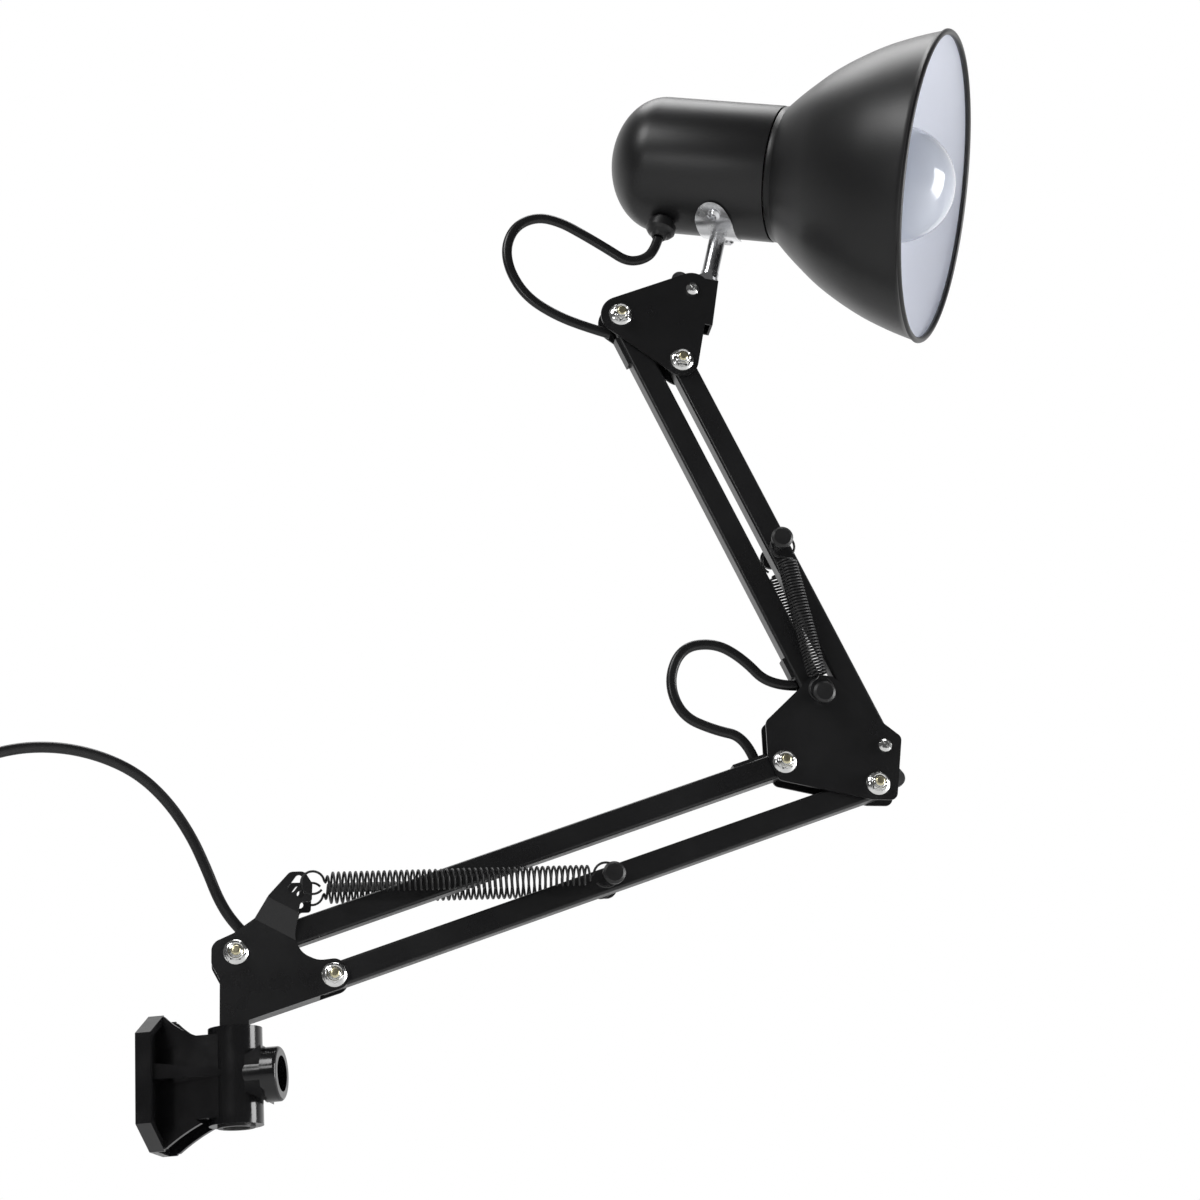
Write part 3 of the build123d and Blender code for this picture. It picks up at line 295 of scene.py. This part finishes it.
def piece(name, points, faces, look, sharp=SHARP):
    """A mesh object from points in the row frame, smooth but for its sharp edges."""
    mesh = bpy.data.meshes.new(name)
    mesh.from_pydata([tuple(point) for point in points], [], faces)
    work = bmesh.new()
    work.from_mesh(mesh)
    bmesh.ops.remove_doubles(work, verts=work.verts, dist=MERGE)
    bmesh.ops.recalc_face_normals(work, faces=work.faces)
    work.to_mesh(mesh)
    work.free()
    for face in mesh.polygons:
        face.use_smooth = True
    mesh.set_sharp_from_angle(angle=sharp)
    made = bpy.data.objects.new(name, mesh)
    scene.collection.objects.link(made)
    mesh.materials.append(finishes[look])
    return made


def rings_to_faces(count, size, closed_loop=False):
    """Quads between closed rings of that many points; in a closed loop, the last joins the first."""
    faces = []
    for i in range(count if closed_loop else count - 1):
        here, there = i * size, (i + 1) % count * size
        for j in range(size):
            k = (j + 1) % size
            faces.append((here + j, here + k, there + k, there + j))
    return faces


def lathe_points(origin, axis, profile, turns, radius_at=None):
    """Rings of points: a closed profile of (distance, radius) pairs in mm, turned about the axis."""
    side = axis.orthogonal().normalized()
    over = axis.cross(side)
    points = []
    for i in range(turns):
        angle = tau * i / turns
        out = side * cos(angle) + over * sin(angle)
        for x, radius in profile:
            reach = radius_at(radius, angle) if radius_at else radius
            points.append(origin + (axis * x + out * reach) * MM)
    return points


def lathe(name, origin, axis, profile, look, turns, radius_at=None):
    """A turned piece."""
    points = lathe_points(origin, axis, profile, turns, radius_at)
    faces = rings_to_faces(turns, len(profile), closed_loop=True)
    return piece(name, points, faces, look)


def curve_through(points, steps):
    """A smooth line through profile points, in that many steps from each to the next."""
    ends = [points[0], *points, points[-1]]
    line = []
    for a, b, c, d in zip(ends, ends[1:], ends[2:], ends[3:]):
        for i in range(steps):
            t = i / steps
            line.append(tuple(
                0.5 * (2 * q + (r - p) * t + (2 * p - 5 * q + 4 * r - s) * t * t
                       + (3 * q - p - 3 * r + s) * t ** 3)
                for p, q, r, s in zip(a, b, c, d)
            ))
    return line + [points[-1]]


def transport(points, first_side):
    """A side vector at each point of a line, turned as little as the line allows."""
    tangents = []
    for i in range(len(points)):
        before, after = points[max(i - 1, 0)], points[min(i + 1, len(points) - 1)]
        tangents.append((after - before).normalized())
    side = (first_side - tangents[0] * first_side.dot(tangents[0])).normalized()
    sides = [side]
    for old, new in zip(tangents, tangents[1:]):
        side = old.rotation_difference(new) @ side
        side = (side - new * side.dot(new)).normalized()
        sides.append(side)
    return tangents, sides


def tube(name, points, tangents, sides, section, look):
    """A section of (sideways, upwards) pairs in mm swept along a line, with flat ends."""
    size = len(section)
    rings = []
    for point, tangent, side in zip(points, tangents, sides):
        over = tangent.cross(side)
        rings += [point + (side * x + over * y) * MM for x, y in section]
    faces = rings_to_faces(len(points), size)
    faces.append(tuple(range(size)))
    faces.append(tuple(range(len(rings) - size, len(rings))))
    return piece(name, rings, faces, look, sharp=TUBE_SHARP)


# ---- cords ----
CORD_WIDTH = 5.2
CORD_THICK = 3.9
CORD_SIDES = 20
GROOVE_DEPTH = 0.09       # of the cord's half thickness
GROOVE_NARROW = 2.6       # a larger number makes a narrower groove
ROUTE_STEPS = 10


def cord_section():
    """A flat twin cord: an oval with a shallow groove between its two cores."""
    section = []
    for i in range(CORD_SIDES):
        angle = tau * i / CORD_SIDES
        groove = 1 - GROOVE_DEPTH * exp(-(GROOVE_NARROW * cos(angle)) ** 2)
        section.append((CORD_WIDTH / 2 * cos(angle), CORD_THICK / 2 * sin(angle) * groove))
    return section


def spline_line(control_points):
    """Points along the smooth spline that a cord's route controls."""
    data = bpy.data.curves.new("route", "CURVE")
    data.dimensions = "3D"
    data.resolution_u = ROUTE_STEPS
    spline = data.splines.new("NURBS")
    spline.points.add(len(control_points) - 1)
    for point, place_at in zip(spline.points, control_points):
        point.co = (*place_at, 1)
    spline.order_u = 3
    spline.use_endpoint_u = True
    holder = bpy.data.objects.new("route", data)
    scene.collection.objects.link(holder)
    bpy.context.view_layer.update()
    evaluated = holder.evaluated_get(bpy.context.evaluated_depsgraph_get())
    mesh = bpy.data.meshes.new_from_object(evaluated)
    line = [vertex.co.copy() for vertex in mesh.vertices]
    bpy.data.objects.remove(holder)
    bpy.data.meshes.remove(mesh)
    return line


def nearest(line, target):
    """The number of the line's point that is nearest to the target."""
    return min(range(len(line)), key=lambda i: (line[i] - target).length)


def cut_cord(name, line, first_side, cuts):
    """One cord as several tubes that meet at the cuts, each with its own stretch of the line."""
    tangents, sides = transport(line, first_side)
    stops = [0, *[nearest(line, cut) for cut in cuts], len(line) - 1]
    made = []
    for number, (a, b) in enumerate(zip(stops, stops[1:]), 1):
        span = slice(a, b + 1)
        stretch = tube(f"{name}_{number}", line[span], tangents[span], sides[span], cord_section(),
                       "cord_pvc")
        made.append((stretch, line[span]))
    return made


# Each route's control points in the arm frame. The mains lead: its first loop, the coil, then its tail.
MAINS_ROUTE = [
    (5.8, 0, 8.2), (-0.5, 0, 14.5), (-7.5, 0, 26), (-13, -1, 41), (-20, -3, 57), (-30.5, -6, 73),
    (-44, -11, 85.5), (-61, -17, 93), (-80, -24, 96), (-100, -31, 94), (-119, -37, 86.5),
    (-136, -45, 73), (-147, -56, 55), (-151, -68.5, 40), (-152, -77.5, 28), (-152, -80.6, 20),
]
COIL_AT = (-152, -52, -4)
COIL_OUTER = 31.8
COIL_INNER = 27.4
COIL_ROW = 5.2
COIL_STEPS = 14
# Each turn's place across the coil and its radius, in the order that they were wound.
COIL_TURNS = [(-1, COIL_OUTER), (-1, COIL_INNER), (0, COIL_INNER), (1, COIL_INNER), (1, COIL_OUTER),
              (0, COIL_OUTER)]
COIL_SHIFT = 0.28         # the last share of a turn, in which the cord crosses to the next
COIL_WOBBLE = 0.35
COIL_WAVES = 3.1          # waves in a radian
TAIL_ROUTE = [
    (-152, -83.6, -12), (-152, -82.4, -22), (-152, -81.2, -31), (-152, -81, -40), (-152, -81, -56),
    (-152, -81, -76), (-152, -81, -94), (-152, -81, -104), (-152, -81, -115),
]


def coil_route():
    """The coil's turns, wound in the plane across the arm from its near side downwards."""
    x, depth, z = COIL_AT
    route = []
    places = [*COIL_TURNS, COIL_TURNS[-1]]
    for number, (row, radius) in enumerate(COIL_TURNS):
        next_row, next_radius = places[number + 1]
        for step in range(COIL_STEPS):
            share = step / COIL_STEPS
            shift = max(0.0, (share - (1 - COIL_SHIFT)) / COIL_SHIFT)
            angle = pi + tau * share
            wobble = COIL_WOBBLE * sin(COIL_WAVES * angle + number)
            across = row + (next_row - row) * shift
            reach = radius + (next_radius - radius) * shift + wobble
            reach /= cos(pi / COIL_STEPS) ** 0.5      # the spline runs inside its control points
            route.append((x + across * COIL_ROW, depth + reach * cos(angle), z + reach * sin(angle)))
    return route


ELBOW_ROUTE = [
    (252.2, 0, 86.6), (248.2, 0, 99.2), (233, 0, 103), (217.5, 0, 110.5), (212, 0, 128),
    (219.5, 0, 145.5), (236.5, 0, 147.5), (250, 0, 139), (262, 0, 124.8), (275.8, 0, 124.6),
]
HEAD_ROUTE = [
    (194.2, 0, 312.8), (182, 0, 316.8), (166.5, 0, 323.5), (152.5, 0, 333.5), (144.5, 0, 347.5),
    (142.8, 0, 361.5), (148.5, 0, 373.5), (160, 0, 378.6), (172, 0, 375.5), (184, 0, 368),
    (196, -0.4, 359.7), (204.5, -1.2, 353), (212.5, -2.4, 352.8), (219.1, -2.7, 357.4),
    (221.9, -1.8, 365.7),
]


def points_of(route):
    """A route's points in the row frame."""
    return [at(*point) for point in route]


def make_cords():
    """The mains lead and the loops at the elbow and the head, each cut into stretches."""
    mains_line = spline_line(points_of(MAINS_ROUTE + coil_route() + TAIL_ROUTE))
    (start, start_line), (rest, rest_line) = cut_cord(
        "mains_cord", mains_line, arm_x, [at(-13, -1, 41)])
    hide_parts("mains_cord", "mains_cord_coil", "mains_cord_tail")
    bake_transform(start)
    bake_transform(rest)

    elbow_line = spline_line(points_of(ELBOW_ROUTE))
    (low, low_line), (high, high_line) = cut_cord("elbow_cord", elbow_line, arm_x, [at(212, 0, 128)])
    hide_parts("elbow_cord")
    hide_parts("elbow_cord")
    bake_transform(low)
    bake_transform(high)

    head_line = spline_line(points_of(HEAD_ROUTE))
    parts = cut_cord("head_cord", head_line, up, [at(143.5, 0, 355), at(190, 0, 364)])
    bodies = ["upper_left_bar", "top_yoke", "head_knuckle", "head"]
    spans = [(at(192, 0, 313), at(146, 0, 345)), (at(143, 0, 362), at(184, 0, 368)),
             (at(192, 0, 362), at(220, 0, 362))]
    for (stretch, line), near, far, (begin, end) in zip(parts, bodies, bodies[1:], spans):
        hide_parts("head_cord")
        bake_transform(stretch)


# ---- springs ----
WIRE_R = 0.6
COIL_R = 4.45
HOOK_RING = 5.4           # the loops at the base yoke's tongues
PIN_RING = 5.9            # the loops that show round the pins' and the axle's buttons
SPRING_DEPTH = 12.5
WIRE_SIDES = 7
TURN_STEPS = 20
RING_STEPS = 24
GROW_TURNS = 0.75         # the turns in which the wire runs out from the axis to the coil's radius
NARROWEST = 0.12          # of the coil's radius, where the wire meets the axis
FIRST_RING_SPAN = (radians(40), radians(352))
LAST_RING_SPAN = (radians(188), radians(500))
LOWER_TURNS, UPPER_TURNS = 47, 39
LOWER_LEAD_IN, UPPER_LEAD_IN = 11.6, 9.4      # from a spring's hook to its coil
LEAD_OUT = 10.4                               # from its coil to the pin
LOWER_FIRST_RING = (5.6, HOOK_RING)           # a ring's centre, from its end of the spring, and radius
UPPER_FIRST_RING = (2.6, PIN_RING)
LAST_RING = (3.4, PIN_RING)


def spring_line(length, turns, lead_in, lead_out, first_ring, last_ring):
    """A tension spring's wire from ring to ring, as (along, across, deep) in mm from its first hook.

    Each ring stands on the coil's end. The wire runs from the first to the axis, out into the coil, and
    back to the axis before the last.
    """
    line = []

    def ring(centre, radius, begin, end):
        """Add an open loop of wire."""
        for i in range(RING_STEPS + 1):
            angle = begin + (end - begin) * i / RING_STEPS
            line.append((centre + radius * cos(angle), radius * sin(angle), 0.0))

    ring(*first_ring, *FIRST_RING_SPAN)
    first, last = lead_in, length - lead_out
    total = turns * TURN_STEPS
    for i in range(total + 1):
        turned = i / TURN_STEPS
        angle = pi / 2 + tau * turned
        open_in = min(1.0, turned / GROW_TURNS) ** 0.5
        open_out = min(1.0, (turns - turned) / GROW_TURNS) ** 0.5
        radius = COIL_R * max(NARROWEST, min(open_in, open_out))
        line.append((first + (last - first) * i / total, radius * cos(angle), radius * sin(angle)))
    ring(length - last_ring[0], last_ring[1], *LAST_RING_SPAN)
    return line


def round_section(radius, sides):
    """A wire's section."""
    return [(radius * cos(tau * i / sides), radius * sin(tau * i / sides)) for i in range(sides)]


def make_spring(name, hook, pin, depth, turns, lead_in, first_ring, stood_for):
    """One spring between a hook and a pin, at a depth from the arm's plane."""
    along = (pin - hook).normalized()
    across = along.cross(-far_side).normalized() * (1 if depth < 0 else -1)
    length = (pin - hook).length / MM
    start = hook + far_side * depth * MM
    line = [start + (along * a + across * b + far_side * c) * MM
            for a, b, c in spring_line(length, turns, lead_in, LEAD_OUT, first_ring, LAST_RING)]
    tangents, sides = transport(line, far_side)
    spring = tube(name, line, tangents, sides, round_section(WIRE_R, WIRE_SIDES), "spring_steel")
    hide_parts(*stood_for)
    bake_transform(spring)


def middle_of(name):
    """The middle of a CAD node's box."""
    low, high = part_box(name)
    return (low + high) / 2


def make_springs():
    """The lower arm's and the upper arm's springs, on the near and the far side."""
    lower_hook, lower_pin = place("lower_springs_swing"), middle_of("lower_spring_pin")
    upper_hook, upper_pin = place("upper_springs_swing"), middle_of("upper_spring_pin")
    lower, upper = ("lower_springs", "lower_spring_loops"), ("upper_springs", "upper_spring_loops")
    for side_name, depth in (("near", -SPRING_DEPTH), ("far", SPRING_DEPTH)):
        make_spring(f"lower_spring_{side_name}", lower_hook, lower_pin, depth, LOWER_TURNS,
                    LOWER_LEAD_IN, LOWER_FIRST_RING, lower)
        make_spring(f"upper_spring_{side_name}", upper_hook, upper_pin, depth, UPPER_TURNS,
                    UPPER_LEAD_IN, UPPER_FIRST_RING, upper)


# ---- nuts ----
NUT_APOTHEM = 4.0
NUT_FACE = 6.7            # the nuts' seats from the arm plane
HEXAGON_FROM = 0.96       # of the apothem; a smaller radius is a circle's
FLANGE_TURNS = 64
NUT_TURNS = 72
TIP_TURNS = 40
THREADS = 5
THREAD_PITCH = 0.4
THREAD_START = 3.4
# Profiles of (distance from the seat, radius).
FLANGE_PROFILE = [(0, 2.6), (0, 5.9), (0.55, 5.9), (0.8, 5.75), (1.5, 4.5), (1.7, 4.1), (1.7, 2.6)]
NUT_PROFILE = [(1.2, 2.55), (1.2, 4.62), (4.0, 4.62), (4.5, 4.4), (4.85, 4.12), (5.0, 3.7),
               (4.75, 3.2), (4.3, 2.55)]


def tip_profile():
    """The bolt's end: a few ridges of thread below a rounded tip."""
    thread = []
    for i in range(THREADS):
        thread += [(THREAD_START + i * THREAD_PITCH, 2.5),
                   (THREAD_START + THREAD_PITCH / 2 + i * THREAD_PITCH, 2.25)]
    return [(1.0, 0), (1.0, 2.5), *thread, (5.4, 2.4), (5.85, 2.15), (6.1, 1.7), (6.15, 0.9), (6.1, 0)]


def hexagon(radius, angle):
    """A hexagon's radius at an angle, or the given radius where that is less."""
    part = (angle + pi / 6) % (pi / 3) - pi / 6
    if radius > NUT_APOTHEM * HEXAGON_FROM:
        return min(radius, NUT_APOTHEM / cos(part))
    return radius


def flange_nut(name, centre, body, node, turn):
    """A flanged hexagon nut with chamfered corners, and the rounded bolt end that shows in it."""
    seat = centre - far_side * NUT_FACE * MM
    outward = -far_side
    first = lathe(f"{name}_flange", seat, outward, FLANGE_PROFILE, "bright_zinc",
                  FLANGE_TURNS)
    second = lathe(name, seat, outward, NUT_PROFILE, "bright_zinc", NUT_TURNS,
                   lambda radius, angle: hexagon(radius, angle + turn))
    third = lathe(f"{name}_bolt_end", seat, outward, tip_profile(), "bolt_end",
                  TIP_TURNS)
    for made in (first, second, third):
        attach(made, body)
    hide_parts(node)


def make_nuts():
    """The six near nuts, each turned by its own angle in radians."""
    elbow = place("elbow_pivot")
    base_top = place("lower_arm_tilt")
    base_bottom = place("lower_bottom_bar_pivot")
    top_left = place("top_yoke_pivot")
    top_right = place("upper_right_bar_pivot") + top_left - place("upper_arm_tilt")
    elbow_bottom = elbow + base_bottom - base_top
    flange_nut("base_nut_top", base_top, "base_yoke", "base_nuts", turn=0.3)
    flange_nut("base_nut_bottom", base_bottom, "base_yoke", "base_nuts", turn=0.75)
    flange_nut("elbow_nut_top", elbow, "elbow", "elbow_nuts", turn=0.1)
    flange_nut("elbow_nut_bottom", elbow_bottom, "elbow", "elbow_nuts", turn=0.5)
    flange_nut("top_nut_left", top_left, "top_yoke", "top_nuts", turn=0.9)
    flange_nut("top_nut_right", top_right, "top_yoke", "top_nuts", turn=0.35)


# ---- head shells ----
# Distances along the head's axis and radii; the mouth is at the far end.
SHADE_PROFILE = [(30, 35.2), (36, 40.9), (44, 47.7), (54, 55.4), (66, 62.7), (80, 69.6),
                 (95, 75.0), (108.3, 78.7)]
SHADE_STEPS = 6
SHADE_TURNS = 160
SHADE_STEEL = 0.5         # the black shell's wall
SHADE_GAP = 0.52          # where the white liner's wall begins
SHADE_WALL = 1.0          # and where it ends
SHADE_NECK = 27.0
BEAD_X = 107.7            # the rolled rim's middle
BEAD_AT_R = 77.7
BEAD_R = 1.6
BEAD_TURN = pi * 1.25
BEAD_STEPS = 12
CAP_BACK = -63.0
CAP_DOME = 27.0
CAP_R = 35.1
CAP_FRONT = 26.6
CAP_WALL = 1.2
CAP_EDGE = 0.6            # the rounding of the cap's mouth
CAP_TURNS = 128
DOME_STEPS = 24
HOLLOW_TO_R = 34          # within this radius the dome's inside is moved along the axis too


def inset(profile, amount):
    """A profile moved inwards, square to itself."""
    moved = []
    for i, (x, radius) in enumerate(profile):
        x0, r0 = profile[max(i - 1, 0)]
        x1, r1 = profile[min(i + 1, len(profile) - 1)]
        run = ((x1 - x0) ** 2 + (r1 - r0) ** 2) ** 0.5
        moved.append((x + (r1 - r0) / run * amount, radius - (x1 - x0) / run * amount))
    return moved


def make_shade():
    """The shade's black shell with its rolled rim, and the white liner inside it."""
    outer = curve_through(SHADE_PROFILE, SHADE_STEPS)
    skin = inset(outer, SHADE_STEEL)
    rim = []
    for i in range(BEAD_STEPS + 1):
        angle = BEAD_TURN * i / BEAD_STEPS
        rim.append((BEAD_X + BEAD_R * sin(angle), BEAD_AT_R + BEAD_R * cos(angle)))
    neck_out = [(SHADE_NECK, 20.8), (SHADE_NECK, 34.1), (SHADE_NECK + 0.3, 34.7),
                (SHADE_NECK + 1.0, 34.95)]
    neck_in = [(29.0, 33.9), (28.0, 33.0), (27.6, 20.8)]
    shell = neck_out + outer[:-1] + rim + skin[::-1][1:] + neck_in
    shade = lathe("lamp_shade_shell", head_origin, head_x, shell, "head_enamel",
                  SHADE_TURNS)
    inner_neck = [(29.6, 33.4), (28.1, 32.6), (28.05, 21.0), (28.5, 21.0), (28.6, 32.2), (30.1, 33.0)]
    lining = inset(outer, SHADE_GAP)[::-1] + inner_neck + inset(outer, SHADE_WALL)
    liner = lathe("lamp_shade_liner", head_origin, head_x, lining, "shade_white",
                  SHADE_TURNS)
    for shown in (shade, liner):
        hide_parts("lamp_shade")
        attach(shown, "head")


def make_cap():
    """The cap: a dome and a straight wall, open towards the shade."""
    dome = []
    for i in range(DOME_STEPS + 1):
        angle = pi / 2 * i / DOME_STEPS
        dome.append((CAP_BACK + CAP_DOME * (1 - cos(angle)), CAP_R * sin(angle)))
    front = [(CAP_FRONT - CAP_EDGE, CAP_R), (CAP_FRONT - 0.15, CAP_R - 0.15),
             (CAP_FRONT, CAP_R - CAP_EDGE), (CAP_FRONT, CAP_R - CAP_WALL),
             (CAP_BACK + CAP_DOME, CAP_R - CAP_WALL)]
    hollow = [(x + (CAP_WALL if r < HOLLOW_TO_R else 0), max(0.0, r - CAP_WALL))
              for x, r in dome[::-1][1:]]
    cap = lathe("lamp_cap_shell", head_origin, head_x, dome + front + hollow, "head_enamel",
                CAP_TURNS)
    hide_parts("lamp_cap")
    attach(cap, "head")


# ---- the stage and the whole ----
FLOOR_HALF = 4.0          # metres


def make_stage():
    """The floor and the four soft lights."""
    mesh = bpy.data.meshes.new("floor")
    corners = [(x * FLOOR_HALF, y * FLOOR_HALF, FLOOR_Z)
               for x, y in ((-1, -1), (1, -1), (1, 1), (-1, 1))]
    mesh.from_pydata(corners, [], [(0, 1, 2, 3)])
    ground = bpy.data.objects.new("floor", mesh)
    scene.collection.objects.link(ground)
    mesh.materials.append(finish("pale_floor", (0.78, 0.78, 0.78), 0.6, vary=0.05,
                                 tint=(0.8, 0.8, 0.8), patch=3, grain=60, depth=0.03))
    middle, foot = at(120, 0, 180), at(-60, 0, -80)
    softbox("key", middle + (arm_x * -1.3 - far_side * 1.2 + up * 1.5), middle,
            width=0.8, height=0.8, power=20)
    softbox("fill", middle + (arm_x * 2.0 - far_side * 0.45 - up * 0.1), middle,
            width=0.9, height=1.5, power=42)
    softbox("low", foot + (arm_x * -0.25 - far_side * 0.7 + up * 0.35), at(20, 0, -20),
            width=0.3, height=0.12, power=0.8)
    softbox("top", middle + (arm_x * 0.2 + far_side * 0.5 + up * 2.0), middle,
            width=1.4, height=1.0, power=20)


make_camera()
make_cords()
make_world()
make_stage()
dress_frame()
make_springs()
make_nuts()
make_shade()
make_cap()
